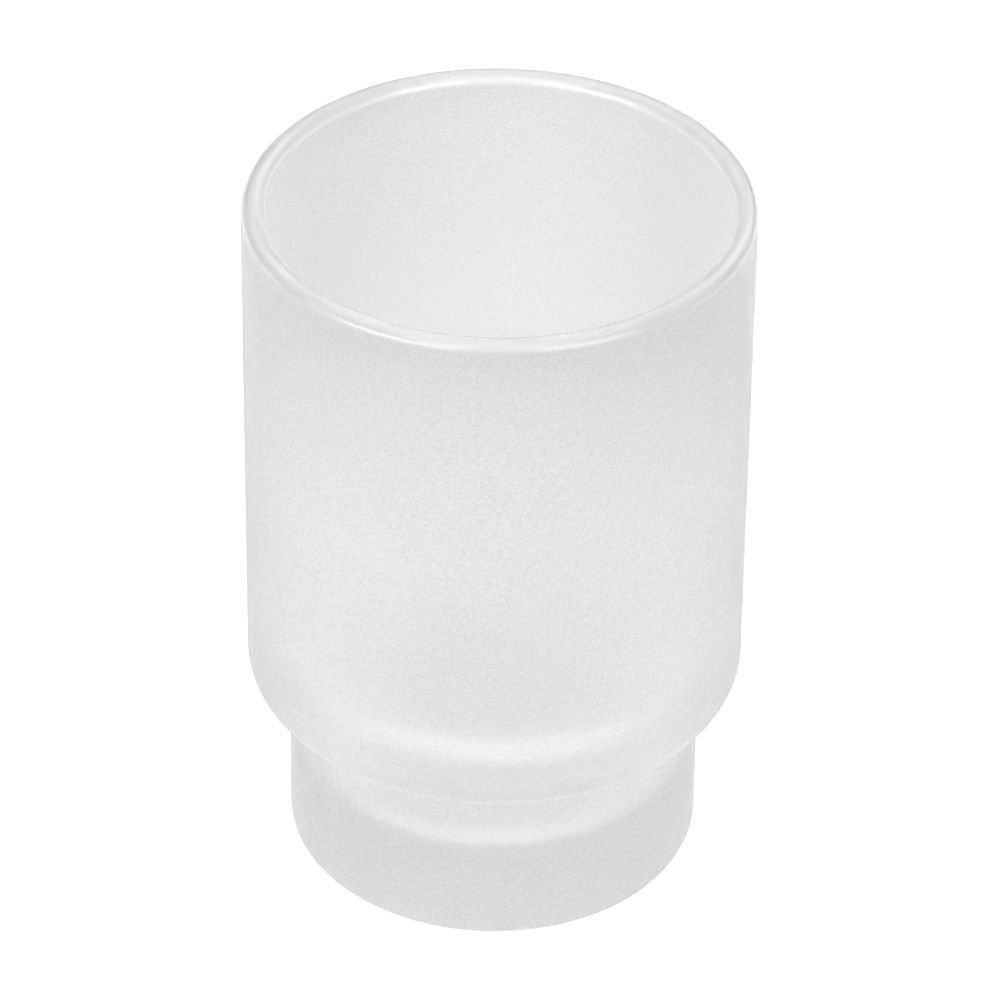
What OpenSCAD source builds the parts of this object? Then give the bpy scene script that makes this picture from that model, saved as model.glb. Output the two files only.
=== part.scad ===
// Satin glass tumbler for a bathroom.
// One piece of pressed glass, turned about the Z axis: a tall body, a rounded
// shoulder, and a narrower foot that also drops into the ring of a wall holder.
// The origin is the centre of the base, and the mouth faces up.

/* [Body] */
// Outer diameter at the lip
rim_d = 68; // [64:0.5:76]
// Height from the table to the top of the lip
height = 102.3; // [92:0.1:120]
// Lean of the outer wall, narrower towards the foot, in degrees
body_draft = 0.2; // [0:0.1:0.8]
// Radius of the rounded shoulder under the body
shoulder_r = 5.8; // [3:0.2:6]

/* [Foot] */
// Outer diameter of the foot, which a holder's ring takes
foot_d = 56; // [50:0.5:59]
// Height of the shoulder's underside above the table
foot_h = 25.4; // [21:0.1:28]
// Radius of the foot's lower edge
foot_edge_r = 4; // [2:0.1:6]
// Radius of the fillet in the corner between foot and shoulder
seat_fillet_r = 0.4; // [0.2:0.1:1]

/* [Underside] */
// Diameter of the hollow under the base, inside the standing ring
punt_d = 40; // [30:1:44]
// Depth of that hollow at its centre
punt_depth = 1.2; // [0.4:0.1:2.5]

/* [Cavity] */
// Thickness of the wall at the lip
lip_wall = 3; // [2:0.1:4]
// Lean of the inner walls, narrower towards the base, in degrees
cavity_draft = 0.5; // [0:0.1:1.2]
// Height of the ledge inside the shoulder above the table
ledge_h = 33; // [30:0.5:38]
// Radius where the inner wall turns in to the ledge
ledge_corner_r = 5; // [2:0.5:6]
// Radius of the rounded edge where the ledge drops into the foot
ledge_edge_r = 2.5; // [1:0.5:4]
// Thickness of the foot's wall at the height of the ledge
foot_wall = 3.6; // [2.6:0.1:5]
// Thickness of the solid base, from the table to the cavity's floor
base_h = 13; // [9:0.5:17]
// Radius between the cavity's floor and its wall
floor_corner_r = 5; // [2:0.5:8]

/* [Hidden] */
$fn = 128;
// How far a cut or a joined shape runs past its neighbour
overrun = 2;

rim_r = rim_d / 2;
foot_r = foot_d / 2;

// A wall is its radius at some height, that height, and its lean in degrees
body_wall = [rim_r, height, body_draft];
foot_outer_wall = [foot_r, foot_h, 0];
cavity_wall = [rim_r - lip_wall, height, cavity_draft];
cavity_foot_wall = [foot_r - foot_wall, ledge_h, cavity_draft];

// Radius of a wall at height z
function wall_r(wall, z) = wall[0] + (z - wall[1]) * tan(wall[2]);

// Where a round of radius size, centred at centre, runs into a wall to its right
function touch_right(centre, size, lean) = centre + size * [cos(lean), -sin(lean)];

// Where a round of radius size, centred at centre, runs into a wall to its left
function touch_left(centre, size, lean) = centre + size * [-cos(lean), sin(lean)];

// Centre of a corner round that touches a flat bottom at height low and the wall
function corner_centre(wall, low, size) =
    [wall_r(wall, low + size) - size / cos(wall[2]), low + size];

// Centre of a fillet outside a narrow wall and under a step. It touches the narrow
// wall, and the step's corner round or, where the round leaves some, the step's flat.
function fillet_centre(wall, round_centre, round_size, size) =
    let (
        lean = wall[2],
        reach = round_size + size,
        offset = wall_r(wall, round_centre[1]) + size / cos(lean) - round_centre[0],
        drop = offset < reach * tan(lean)
            ? reach
            : (offset * tan(lean) + sqrt(pow(reach / cos(lean), 2) - pow(offset, 2)))
                * pow(cos(lean), 2)
    )
    round_centre + [offset - drop * tan(lean), -drop];

// The lip is one full round that touches the outer wall, the inner wall and the top
lip_r = lip_wall
    / (tan(body_draft) + 1 / cos(body_draft) - tan(cavity_draft) + 1 / cos(cavity_draft));
lip_centre = [wall_r(body_wall, height - lip_r) - lip_r / cos(body_draft), height - lip_r];
lip_outer = touch_right(lip_centre, lip_r, body_draft);
lip_inner = touch_left(lip_centre, lip_r, cavity_draft);

// The hollow under the base is part of a large sphere
punt_r = (pow(punt_d / 2, 2) + pow(punt_depth, 2)) / (2 * punt_depth);

// Half outline of a cup from the axis out: a flat bottom at height low, a corner
// round, a leaning wall, then the points of crown, which lead back to the axis
module cup_outline(wall, low, corner, crown) {
    centre = corner_centre(wall, low, corner);
    polygon(concat(
        [[0, low], [centre[0], low], centre, touch_right(centre, corner, wall[2])],
        crown
    ));
    translate(centre)
        circle(r = corner);
}

// Half outline of a wide cup that stands on a narrow one, with a fillet where the
// narrow wall runs in under the step
module stepped_outline(wall, step, step_corner, crown, narrow_wall, low, low_corner, fillet) {
    round_centre = corner_centre(wall, step, step_corner);
    join_z = round_centre[1];
    cup_outline(wall, step, step_corner, crown);
    cup_outline(narrow_wall, low, low_corner, [[wall_r(narrow_wall, join_z), join_z], [0, join_z]]);

    centre = fillet_centre(narrow_wall, round_centre, step_corner, fillet);
    touch = touch_left(centre, fillet, narrow_wall[2]);
    difference() {
        polygon([
            [touch[0] - overrun, touch[1]],
            touch,
            centre,
            [min(round_centre[0], centre[0]), join_z],
            [touch[0] - overrun, join_z],
        ]);
        translate(centre)
            circle(r = fillet);
    }
}

// Half section of the glass. This is the feature that takes the most skill: every
// round meets its neighbours at a worked-out tangent point, so no edge is left sharp
// but the rim of the hollow under the base.
module glass_section() {
    difference() {
        stepped_outline(body_wall, foot_h, shoulder_r,
            [lip_outer, lip_centre, lip_inner, [0, lip_inner[1]]],
            foot_outer_wall, 0, foot_edge_r, seat_fillet_r);
        stepped_outline(cavity_wall, ledge_h, ledge_corner_r,
            [[wall_r(cavity_wall, height + overrun), height + overrun], [0, height + overrun]],
            cavity_foot_wall, base_h, floor_corner_r, ledge_edge_r);
        translate([0, punt_depth - punt_r])
            circle(r = punt_r);
    }
    translate(lip_centre)
        circle(r = lip_r);
}

// The tumbler: one solid of glass, satin outside and smooth inside and on the lip
module tumbler_glass() {
    color("whitesmoke")
        rotate_extrude()
            glass_section();
}

tumbler_glass();
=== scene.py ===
# %% [markdown]
# This scene dresses a satin glass tumbler, the kind that stands on a bathroom shelf or drops
# into the ring of a wall holder. The real one is a single piece of pressed glass, so the work
# is one turned shape, three finishes of the same glass, and light that lets the eye read them.
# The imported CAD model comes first, because it fixes where everything is and how large it is.

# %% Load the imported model
import math

import bpy
from mathutils import Matrix, Vector


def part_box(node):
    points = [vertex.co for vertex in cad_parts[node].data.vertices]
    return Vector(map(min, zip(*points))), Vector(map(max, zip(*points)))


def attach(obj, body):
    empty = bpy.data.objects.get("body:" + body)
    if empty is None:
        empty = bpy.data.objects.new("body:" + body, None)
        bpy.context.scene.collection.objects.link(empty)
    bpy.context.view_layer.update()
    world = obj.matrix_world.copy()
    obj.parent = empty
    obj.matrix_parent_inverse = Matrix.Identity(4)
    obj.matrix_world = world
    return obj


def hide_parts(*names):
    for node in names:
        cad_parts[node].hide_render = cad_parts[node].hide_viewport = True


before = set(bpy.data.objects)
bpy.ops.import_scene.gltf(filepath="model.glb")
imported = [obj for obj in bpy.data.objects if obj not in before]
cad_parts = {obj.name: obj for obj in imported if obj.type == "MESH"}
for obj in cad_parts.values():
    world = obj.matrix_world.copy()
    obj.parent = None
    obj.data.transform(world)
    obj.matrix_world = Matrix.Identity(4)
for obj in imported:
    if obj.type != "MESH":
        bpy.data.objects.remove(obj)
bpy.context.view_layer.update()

glass_low, glass_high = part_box("tumbler_glass")

# %% [markdown]
# A turned shape is drawn once, as half of its cross-section, and then spun about the axis.
# The section below uses the sizes that the CAD model was built from, in millimetres, and
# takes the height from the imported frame, so the two can't drift apart. A lean is the draft
# that lets pressed glass leave its mould, in degrees. The punt is the shallow hollow under the
# base, which leaves the tumbler standing on a ring.

# %% Sizes of the section
MM = 0.001
HEIGHT = (glass_high[2] - glass_low[2]) / MM
RIM_R = 34.0
BODY_LEAN = 0.2
SHOULDER_ROUND = 5.8
FOOT_R = 28.0
FOOT_HEIGHT = 25.4
FOOT_EDGE_ROUND = 4.0
SEAT_FILLET = 0.4
PUNT_R = 20.0
PUNT_DEPTH = 1.2
LIP_WALL = 3.0
CAVITY_LEAN = 0.5
LEDGE_HEIGHT = 33.0
LEDGE_CORNER_ROUND = 5.0
LEDGE_EDGE_ROUND = 2.5
FOOT_WALL = 3.6
BASE_HEIGHT = 13.0
FLOOR_CORNER_ROUND = 5.0
print("section is", round(HEIGHT, 2), "mm high and", 2 * RIM_R, "mm across the lip")

# %% [markdown]
# Pressed glass has no sharp edges: a straight wall runs into a round, and the round runs into
# the next wall. Each wall here is a radius, the height where it has that radius, and a lean in
# degrees. Two small functions find the centre of a round that touches what is beside it.


# %% Walls and rounds
def wall_radius(wall, height):
    """How far a leaning wall is from the axis at a height."""
    radius, at_height, lean = wall
    return radius + (height - at_height) * math.tan(math.radians(lean))


def corner_centre(wall, low, size):
    """The centre of a round between a flat at height low and a wall outside it."""
    lean = math.radians(wall[2])
    return wall_radius(wall, low + size) - size / math.cos(lean), low + size


def fillet_centre(wall, round_centre, round_size, size):
    """The centre of a hollow round between a narrow wall and the round of the step above it."""
    lean = math.radians(wall[2])
    reach = round_size + size
    offset = wall_radius(wall, round_centre[1]) + size / math.cos(lean) - round_centre[0]
    along = math.sqrt((reach / math.cos(lean)) ** 2 - offset**2)
    drop = (offset * math.tan(lean) + along) * math.cos(lean) ** 2
    return round_centre[0] + offset - drop * math.tan(lean), round_centre[1] - drop


BODY = (RIM_R, HEIGHT, BODY_LEAN)
FOOT = (FOOT_R, FOOT_HEIGHT, 0.0)
CAVITY = (RIM_R - LIP_WALL, HEIGHT, CAVITY_LEAN)
FOOT_CAVITY = (FOOT_R - FOOT_WALL, LEDGE_HEIGHT, CAVITY_LEAN)

shoulder = corner_centre(BODY, FOOT_HEIGHT, SHOULDER_ROUND)
seat = fillet_centre(FOOT, shoulder, SHOULDER_ROUND, SEAT_FILLET)
foot_edge = corner_centre(FOOT, 0.0, FOOT_EDGE_ROUND)
ledge_corner = corner_centre(CAVITY, LEDGE_HEIGHT, LEDGE_CORNER_ROUND)
ledge_edge = fillet_centre(FOOT_CAVITY, ledge_corner, LEDGE_CORNER_ROUND, LEDGE_EDGE_ROUND)
floor_corner = corner_centre(FOOT_CAVITY, BASE_HEIGHT, FLOOR_CORNER_ROUND)
print("shoulder round at", [round(v, 2) for v in shoulder])
print("ledge round at", [round(v, 2) for v in ledge_corner])

# %% [markdown]
# The section is walked once, from the axis under the base, out and up the outside, over the
# lip, and down the inside to the middle of the cavity's floor. Each ring keeps the direction
# that the glass faces there. A ray bends by that direction, so exact ones give clean
# refraction from a modest mesh, where averaged ones would show bands.

# %% Walk the section
ARC_STEP_DEGREES = 5.0
ARC_FEWEST_STEPS = 4
WALL_STEP_MM = 6.0
TOUCHING_MM = 0.001


def arc(centre, size, start, end):
    """Rings along a round, from one angle to another: radius, height, and the way it faces."""
    steps = max(ARC_FEWEST_STEPS, round(abs(end - start) / ARC_STEP_DEGREES))
    side = 1 if end > start else -1
    rings = []
    for step in range(steps + 1):
        angle = math.radians(start + (end - start) * step / steps)
        facing = Vector((math.cos(angle), math.sin(angle)))
        rings.append((centre[0] + size * facing.x, centre[1] + size * facing.y, side * facing))
    return rings


def joined(*rounds):
    """Rounds in order, with rings spaced along each straight wall between two of them."""
    rings = list(rounds[0])
    for following in rounds[1:]:
        a, b = rings[-1], following[0]
        length = math.hypot(b[0] - a[0], b[1] - a[1])
        steps = max(1, round(length / WALL_STEP_MM))
        for step in range(1, steps):
            t = step / steps
            rings.append((a[0] + (b[0] - a[0]) * t, a[1] + (b[1] - a[1]) * t, a[2].lerp(b[2], t)))
        rings += following if length > TOUCHING_MM else following[1:]
    return rings


def bearing(here, there):
    """The angle in degrees at which one point of the section sees another."""
    return math.degrees(math.atan2(there[1] - here[1], there[0] - here[0]))


# The lip's round touches the outer wall, the inner wall and the tumbler's full height.
lean_out, lean_in = math.radians(BODY_LEAN), math.radians(CAVITY_LEAN)
lip_round = LIP_WALL / (
    math.tan(lean_out) + 1 / math.cos(lean_out) - math.tan(lean_in) + 1 / math.cos(lean_in)
)
lip = corner_centre(BODY, HEIGHT - 2 * lip_round, lip_round)
lip_rings = arc(lip, lip_round, -BODY_LEAN, 180 - CAVITY_LEAN)

# The punt is a cap of a large sphere, centred below the base.
punt_sphere = (PUNT_R**2 + PUNT_DEPTH**2) / (2 * PUNT_DEPTH)
punt_angle = math.degrees(math.asin(PUNT_R / punt_sphere))
seat_turn = bearing(seat, shoulder)
ledge_turn = bearing(ledge_edge, ledge_corner)

outside = joined(
    arc((0.0, PUNT_DEPTH - punt_sphere), punt_sphere, 90, 90 - punt_angle),
    arc(foot_edge, FOOT_EDGE_ROUND, -90, 0),
    arc(seat, SEAT_FILLET, 180, seat_turn),
    arc(shoulder, SHOULDER_ROUND, seat_turn - 180, -BODY_LEAN),
    [lip_rings[0]],
)
inside = joined(
    [lip_rings[-1]],
    arc(ledge_corner, LEDGE_CORNER_ROUND, -CAVITY_LEAN, ledge_turn - 180),
    arc(ledge_edge, LEDGE_EDGE_ROUND, ledge_turn, 180 - CAVITY_LEAN),
    arc(floor_corner, FLOOR_CORNER_ROUND, -CAVITY_LEAN, -90),
    [(0.0, BASE_HEIGHT, Vector((0, 1)))],
)
print("rings outside", len(outside), "over the lip", len(lip_rings), "inside", len(inside))

# %% [markdown]
# Spinning the rings gives the mesh. The outside is etched satin from the base to where the lip
# begins, the lip is polished, and the inside is a third finish, so each band of faces takes
# the finish of the ring that it ends at.

# %% Spin the mesh
TURNS = 256
OUTSIDE, LIP, INSIDE = 0, 1, 2


def spin(name, rings, finishes):
    """A closed mesh turned about Z. A ring on the axis becomes one point."""
    places, facings, loops = [], [], []
    for radius, height, facing in rings:
        count = 1 if radius < TOUCHING_MM else TURNS
        loops.append([len(places) + i for i in range(count)])
        for i in range(count):
            turn = 2 * math.pi * i / TURNS
            around = Vector((math.cos(turn), math.sin(turn), 0))
            out = 0.0 if count == 1 else facing.x
            places.append(around * radius * MM + Vector((0, 0, height * MM)))
            facings.append((around * out + Vector((0, 0, facing.y))).normalized())
    faces, face_finish = [], []
    for lower, upper, finish in zip(loops, loops[1:], finishes[1:]):
        for i in range(TURNS):
            j = (i + 1) % TURNS
            bottom = [lower[i % len(lower)], lower[j % len(lower)]]
            top = [upper[j % len(upper)], upper[i % len(upper)]]
            faces.append(list(dict.fromkeys(bottom + top)))
            face_finish.append(finish)
    mesh = bpy.data.meshes.new(name)
    mesh.from_pydata(places, [], faces)
    mesh.polygons.foreach_set("material_index", face_finish)
    mesh.polygons.foreach_set("use_smooth", [True] * len(faces))
    mesh.normals_split_custom_set_from_vertices(facings)
    mesh.update()
    piece = bpy.data.objects.new(name, mesh)
    bpy.context.scene.collection.objects.link(piece)
    return piece


rings = outside + lip_rings[1:] + inside[1:]
finishes = [OUTSIDE] * len(outside) + [LIP] * (len(lip_rings) - 1) + [INSIDE] * (len(inside) - 1)
tumbler = spin("pressed_tumbler", rings, finishes)
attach(tumbler, "root")
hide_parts("tumbler_glass")
print("tumbler has", len(tumbler.data.vertices), "points and", len(tumbler.data.polygons), "faces")

# %% [markdown]
# Materials are built from nodes. One helper adds a node, sets its options and fills its
# inputs, from plain values or from the outputs of other nodes. Colours are written as the hex
# values that a screen shows, and one function turns them to the linear values that light uses.


# %% Helpers for materials
def linear(hex_colour):
    """An sRGB hex colour as linear red, green, blue and a full alpha."""
    shares = [int(hex_colour[i:i + 2], 16) / 255 for i in (1, 3, 5)]
    return [s / 12.92 if s <= 0.04045 else ((s + 0.055) / 1.055) ** 2.4 for s in shares] + [1.0]


def add_node(tree, kind, options=None, inputs=None):
    """A new node. An input that is given another node's output is linked to it."""
    made = tree.nodes.new(kind)
    for name, value in (options or {}).items():
        setattr(made, name, value)
    for name, value in (inputs or {}).items():
        if isinstance(value, bpy.types.NodeSocket):
            tree.links.new(value, made.inputs[name])
        else:
            made.inputs[name].default_value = value
    return made


def new_material(name):
    """An empty node material and its output."""
    material = bpy.data.materials.new(name)
    material.use_nodes = True
    material.node_tree.nodes.clear()
    return material, material.node_tree, material.node_tree.nodes.new("ShaderNodeOutputMaterial")


# %% [markdown]
# Soda-lime glass bends light by an index of about 1.52. Satin glass is made by dipping it in
# acid, which leaves a skin of tiny pits. Part of the light still passes nearly straight,
# blurred, and part is spread every way, which gives the milky look. So a rough glass shader is
# mixed with a translucent one. The pits are a few hundredths of a millimetre, far finer than a
# pixel, so their grain is drawn at 0.25 mm. Its brightest spots are white and the rest lie a
# little under that. A grain that wavered about white would come out as dark specks alone,
# because the renderer's denoiser smooths away whatever is brighter than white. The acid also
# bites a little more in some spots than in others, which leaves faint clouds about 0.8 mm
# wide. Both are a noise, most of which lies between 0.4 and 0.6, so that range is stretched
# out to the full depth.

# %% Etched skin
SODA_LIME_IOR = 1.52
GRAIN_MM = 0.25
GRAIN_DETAIL = 1.0
CLOUD_MM = 0.8
CLOUD_DETAIL = 3.0
NOISE_ROUGHNESS = 0.6
NOISE_RANGE = (0.4, 0.6)


def waver(tree, here, size_mm, detail, depth, highest=0.0):
    """A noise that goes from 1 + (highest - 2) * depth up to 1 + highest * depth."""
    noise = add_node(tree, "ShaderNodeTexNoise", None, {
        "Vector": here, "Scale": 1 / (size_mm * MM), "Detail": detail, "Roughness": NOISE_ROUGHNESS,
    })
    wave = add_node(tree, "ShaderNodeMapRange", None, {
        "Value": noise.outputs["Fac"], "From Min": NOISE_RANGE[0], "From Max": NOISE_RANGE[1],
        "To Min": highest - 2, "To Max": highest,
    })
    return add_node(tree, "ShaderNodeMath", {"operation": "MULTIPLY_ADD"}, {
        0: wave.outputs["Result"], 1: depth, 2: 1.0,
    }).outputs[0]


def glass_and_milk(tree, output, milk_share, milk_colour, glass_inputs):
    """Rough glass mixed with a share of milk, which spreads light every way."""
    glass = add_node(tree, "ShaderNodeBsdfPrincipled", None, {
        "Base Color": linear("#ffffff"), "IOR": SODA_LIME_IOR, "Transmission Weight": 1.0,
        **glass_inputs,
    })
    milk = add_node(tree, "ShaderNodeBsdfTranslucent", None, {"Color": milk_colour})
    skin = add_node(tree, "ShaderNodeMixShader", None, {
        0: milk_share, 1: glass.outputs["BSDF"], 2: milk.outputs["BSDF"],
    })
    tree.links.new(skin.outputs["Shader"], output.inputs["Surface"])


# %% [markdown]
# The outside took the deepest etch. Some light never enters it, because the walls of the pits
# throw it straight back, as chalk does. A Transmission Weight a little under 1 gives that share
# to plain white. It also darkens the seat, where the shoulder meets the foot, because light
# from outside hardly reaches into that groove.

# %% Acid-etched outside
OUTSIDE_ROUGHNESS = 0.6
OUTSIDE_MILK = 0.45
OUTSIDE_GRAIN = 0.12
OUTSIDE_CLOUDS = 0.04
OUTSIDE_CLEAR = 0.93

etched, tree, output = new_material("acid_etched_soda_lime_glass")
here = add_node(tree, "ShaderNodeTexCoord").outputs["Object"]
fine = waver(tree, here, GRAIN_MM, GRAIN_DETAIL, OUTSIDE_GRAIN)
clouds = waver(tree, here, CLOUD_MM, CLOUD_DETAIL, OUTSIDE_CLOUDS, highest=1.0)
colour = add_node(tree, "ShaderNodeVectorMath", {"operation": "MULTIPLY"}, {0: fine, 1: clouds})
glass_and_milk(tree, output, OUTSIDE_MILK, colour.outputs["Vector"], {
    "Roughness": OUTSIDE_ROUGHNESS, "Transmission Weight": OUTSIDE_CLEAR,
})
print(etched.name, "with", len(tree.nodes), "nodes")

# %% [markdown]
# The lip is touched by a flame after the etch. The flame melts only the very skin, so the pits
# close over but stay milky underneath. To the eye that is a soft grey edge with a smooth coat
# that mirrors the lamps as thin streaks, so a coat lies over glass that is rough and milky.

# %% Fire-polished lip
LIP_ROUGHNESS = 0.3
LIP_MILK = 0.22
LIP_COAT_ROUGHNESS = 0.1

polished, tree, output = new_material("fire_polished_soda_lime_glass")
here = add_node(tree, "ShaderNodeTexCoord").outputs["Object"]
colour = waver(tree, here, GRAIN_MM, GRAIN_DETAIL, OUTSIDE_GRAIN)
glass_and_milk(tree, output, LIP_MILK, colour, {
    "Roughness": LIP_ROUGHNESS, "Coat Weight": 1.0, "Coat Roughness": LIP_COAT_ROUGHNESS,
})
print(polished.name, "with", len(tree.nodes), "nodes")

# %% [markdown]
# A tumbler that is dipped mouth down traps air, so the acid reaches only the upper part of the
# inside, and its bite fades downwards. That is why the mouth looks milky while the ledge, low
# down inside, still throws a clear bright band. Three ranges follow the height. The roughness
# and the grain grow between the top of the ledge's round and 55 mm, and the share of milk
# grows from 65 mm up to the lip. The grain is given to the glass here too, because there is
# so little milk to carry it.

# %% Inside, etched near the mouth
FOOT_ROUGHNESS = 0.15
INSIDE_ROUGHNESS = 0.3
INSIDE_MILK = 0.45
INSIDE_GRAIN = 0.08
SMOOTH_BELOW = LEDGE_HEIGHT + LEDGE_CORNER_ROUND
ROUGH_ABOVE = 55.0
MILKY_ABOVE = 65.0
MILKIEST_AT = HEIGHT - LIP_WALL / 2

dipped, tree, output = new_material("lightly_etched_soda_lime_glass")
here = add_node(tree, "ShaderNodeTexCoord").outputs["Object"]
height = add_node(tree, "ShaderNodeSeparateXYZ", None, {"Vector": here}).outputs["Z"]


def by_height(low, high, start, end):
    """A value that goes from start to end between two heights in millimetres."""
    return add_node(tree, "ShaderNodeMapRange", None, {
        "Value": height, "From Min": low * MM, "From Max": high * MM,
        "To Min": start, "To Max": end,
    }).outputs["Result"]


grain_depth = by_height(SMOOTH_BELOW, ROUGH_ABOVE, 0.0, INSIDE_GRAIN)
grain = waver(tree, here, GRAIN_MM, GRAIN_DETAIL, grain_depth)
milk_share = by_height(MILKY_ABOVE, MILKIEST_AT, 0.0, INSIDE_MILK)
roughness = by_height(SMOOTH_BELOW, ROUGH_ABOVE, FOOT_ROUGHNESS, INSIDE_ROUGHNESS)
glass_and_milk(tree, output, milk_share, grain, {"Base Color": grain, "Roughness": roughness})
print(dipped.name, "with", len(tree.nodes), "nodes")

for finish in (etched, polished, dipped):
    tumbler.data.materials.append(finish)
print("finishes on the tumbler:", [m.name for m in tumbler.data.materials])

# %% [markdown]
# The tumbler stands on a plain white table. Most of its white is the lamps' own light on white
# paint. A little glow is added to what the camera sees of it, also in a reflection and through
# the glass, so that the background comes out white without more light on the glass. The paint
# itself still takes the tumbler's soft shadow. The glow is for rays that come upon the table,
# so the renderer is told not to sample the table as if it were a lamp. It is a little weaker
# under the tumbler, where a real table lies in its shade, and that keeps the thick base darker.
# Dry glass never quite touches a table, and a film of air stays between them. The table lies
# lower by the thickness of that film, or its face and the foot's would share one plane and a
# ray couldn't tell which it meets first.

# %% White table
TABLE_SIZE = 6.0
TABLE_GLOW = 0.27
SHADED_GLOW = 0.2
SHADE_MM = (25.0, 31.0)
AIR_FILM_MM = 0.02

half, top = TABLE_SIZE / 2, -AIR_FILM_MM * MM
corners = [(-half, -half, top), (half, -half, top), (half, half, top), (-half, half, top)]
mesh = bpy.data.meshes.new("table")
mesh.from_pydata(corners, [], [(0, 1, 2, 3)])
table = bpy.data.objects.new("table", mesh)
bpy.context.scene.collection.objects.link(table)

board, tree, output = new_material("matt_white_table")
path = add_node(tree, "ShaderNodeLightPath")
mirrored = add_node(tree, "ShaderNodeMath", {"operation": "MAXIMUM"}, {
    0: path.outputs["Is Camera Ray"], 1: path.outputs["Is Glossy Ray"],
})
seen = add_node(tree, "ShaderNodeMath", {"operation": "MAXIMUM"}, {
    0: mirrored.outputs[0], 1: path.outputs["Is Transmission Ray"],
})
here = add_node(tree, "ShaderNodeTexCoord").outputs["Object"]
radius = add_node(tree, "ShaderNodeVectorMath", {"operation": "LENGTH"}, {0: here}).outputs["Value"]
shade = add_node(tree, "ShaderNodeMapRange", None, {
    "Value": radius, "From Min": SHADE_MM[0] * MM, "From Max": SHADE_MM[1] * MM,
    "To Min": SHADED_GLOW, "To Max": TABLE_GLOW,
})
level = add_node(tree, "ShaderNodeMath", {"operation": "MULTIPLY"}, {
    0: seen.outputs[0], 1: shade.outputs["Result"],
})
glow = add_node(tree, "ShaderNodeEmission", None, {"Strength": level.outputs[0]})
paint = add_node(tree, "ShaderNodeBsdfDiffuse", None, {"Color": linear("#f5f5f5")})
both = add_node(tree, "ShaderNodeAddShader", None, {
    0: paint.outputs["BSDF"], 1: glow.outputs["Emission"],
})
tree.links.new(both.outputs["Shader"], output.inputs["Surface"])
board.cycles.emission_sampling = "NONE"
table.data.materials.append(board)
print("table", TABLE_SIZE, "m across")

# %% [markdown]
# The photograph's own highlights say where its lamps stood. Each streak on the lip lies where
# the glass faces halfway between the camera and a lamp, and they come in pairs, so two wide
# softboxes stand low, to the left and right of the camera. Three weak ones, at the right and
# behind on both sides, shine through the wall. Two large ones, high in front and high behind,
# give the soft light on the glass and the table. They are large so that their own mirror images
# on the lip stay faint. A softbox is an area lamp, and its power follows its size and brightness.

# %% Softboxes
AIM = Vector((0, 0, 0.05))
SOFTBOX_DISTANCE = 1.2
total_power = 0.0

softboxes = {
    # name: bearing and rise in degrees, width and height in metres, brightness with white as 1
    "left_front": (-43, 14, 1.0, 0.45, 4.8),
    "right_front": (36, 14, 0.75, 0.45, 4.8),
    "high_front": (0, 42, 1.3, 1.3, 2.05),
    "right_side": (95, 15, 0.4, 0.8, 0.6),
    "right_behind": (145, 30, 0.7, 0.7, 1.2),
    "left_behind": (-145, 30, 0.7, 0.7, 0.4),
    "high_behind": (180, 65, 1.6, 1.6, 0.86),
}
for name, (turn, rise, wide, tall, brightness) in softboxes.items():
    lamp = bpy.data.lights.new(name, "AREA")
    lamp.shape = "RECTANGLE"
    lamp.size = wide
    lamp.size_y = tall
    lamp.energy = math.pi * wide * tall * brightness
    total_power += lamp.energy
    box = bpy.data.objects.new(name, lamp)
    bpy.context.scene.collection.objects.link(box)
    turn, rise = math.radians(turn), math.radians(rise)
    level = math.cos(rise)
    away = Vector((math.sin(turn) * level, -math.cos(turn) * level, math.sin(rise)))
    box.location = AIM + away * SOFTBOX_DISTANCE
    box.rotation_mode = "QUATERNION"
    box.rotation_quaternion = (-away).to_track_quat("-Z", "Y")
print("softboxes", len(softboxes), "with", round(total_power, 1), "W in all")

# %% [markdown]
# The room sends a broad, soft light that grows towards the camera's side. The camera itself
# sees the world as plain white, which is the backdrop in the side views.

# %% Room light
ROOM_LIGHT = 0.8

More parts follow.
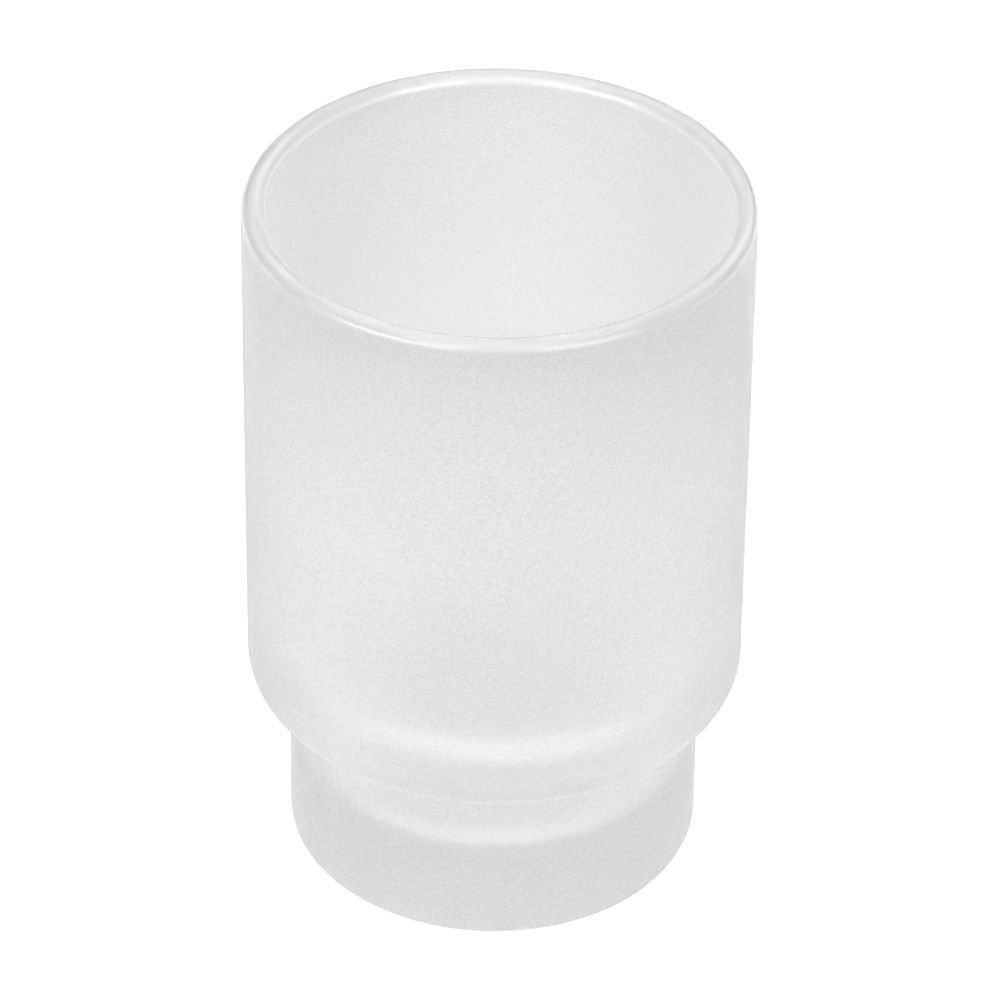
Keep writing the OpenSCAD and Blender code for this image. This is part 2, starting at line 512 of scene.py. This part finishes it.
world = bpy.data.worlds.new("studio")
world.use_nodes = True
tree = world.node_tree
tree.nodes.clear()
here = add_node(tree, "ShaderNodeTexCoord").outputs["Generated"]
depth = add_node(tree, "ShaderNodeSeparateXYZ", None, {"Vector": here}).outputs["Y"]
room = add_node(tree, "ShaderNodeMapRange", None, {
    "Value": depth, "From Min": 0.0, "From Max": -1.0, "To Min": 0.0, "To Max": ROOM_LIGHT,
})
path = add_node(tree, "ShaderNodeLightPath")
level = add_node(tree, "ShaderNodeMath", {"operation": "MAXIMUM"}, {
    0: room.outputs["Result"], 1: path.outputs["Is Camera Ray"],
})
sky = add_node(tree, "ShaderNodeBackground", None, {"Strength": level.outputs[0]})
add_node(tree, "ShaderNodeOutputWorld", None, {"Surface": sky.outputs["Background"]})
bpy.context.scene.world = world
print("room light up to", ROOM_LIGHT)

# %% [markdown]
# The camera was worked out from the tumbler's outline in the photograph: a long lens about a
# metre away that looks down 35.5 degrees, with a slight roll. The place of the tumbler's axis
# in the picture then gives the aim, so the lens needs no shift.

# %% Camera
PICTURE_SIZE = 1000
SENSOR_MM = 36.0
LENS_PIXELS = 7051.0
CAMERA_DISTANCE = 0.955
CAMERA_RISE = 35.54
CAMERA_ROLL = 0.69
AIM_PIXEL = (495.8, 525.4)
NEAR_CLIP = 0.05

rise, roll = math.radians(CAMERA_RISE), math.radians(CAMERA_ROLL)
back = Vector((0, -math.cos(rise), math.sin(rise)))
level_right = Vector((1, 0, 0))
level_up = back.cross(level_right)
right = level_right * math.cos(roll) + level_up * math.sin(roll)
up = level_up * math.cos(roll) - level_right * math.sin(roll)
eye = AIM + back * CAMERA_DISTANCE
across = (PICTURE_SIZE / 2 - AIM_PIXEL[0]) / LENS_PIXELS
above = (AIM_PIXEL[1] - PICTURE_SIZE / 2) / LENS_PIXELS
backward = (back - right * across - up * above).normalized()
sideways = up.cross(backward).normalized()
upward = backward.cross(sideways)

lens = bpy.data.cameras.new("camera")
lens.sensor_width = SENSOR_MM
lens.lens = LENS_PIXELS * SENSOR_MM / PICTURE_SIZE
lens.clip_start = NEAR_CLIP
camera = bpy.data.objects.new("camera", lens)
bpy.context.scene.collection.objects.link(camera)
turned = Matrix((sideways, upward, backward)).transposed().to_4x4()
camera.matrix_world = Matrix.Translation(eye) @ turned
bpy.context.scene.camera = camera
print("lens", round(lens.lens, 1), "mm")

# %% [markdown]
# Light that enters a thick glass base bounces many times before it leaves. With few bounces
# allowed, those paths end in black, so the limits are raised. Colours go to the picture as
# they are, through the Standard view.

# %% Light paths and colour view
BOUNCES = 48

scene = bpy.context.scene
scene.view_settings.view_transform = "Standard"
scene.cycles.max_bounces = BOUNCES
scene.cycles.transmission_bounces = BOUNCES
scene.cycles.glossy_bounces = BOUNCES
print("up to", BOUNCES, "bounces")
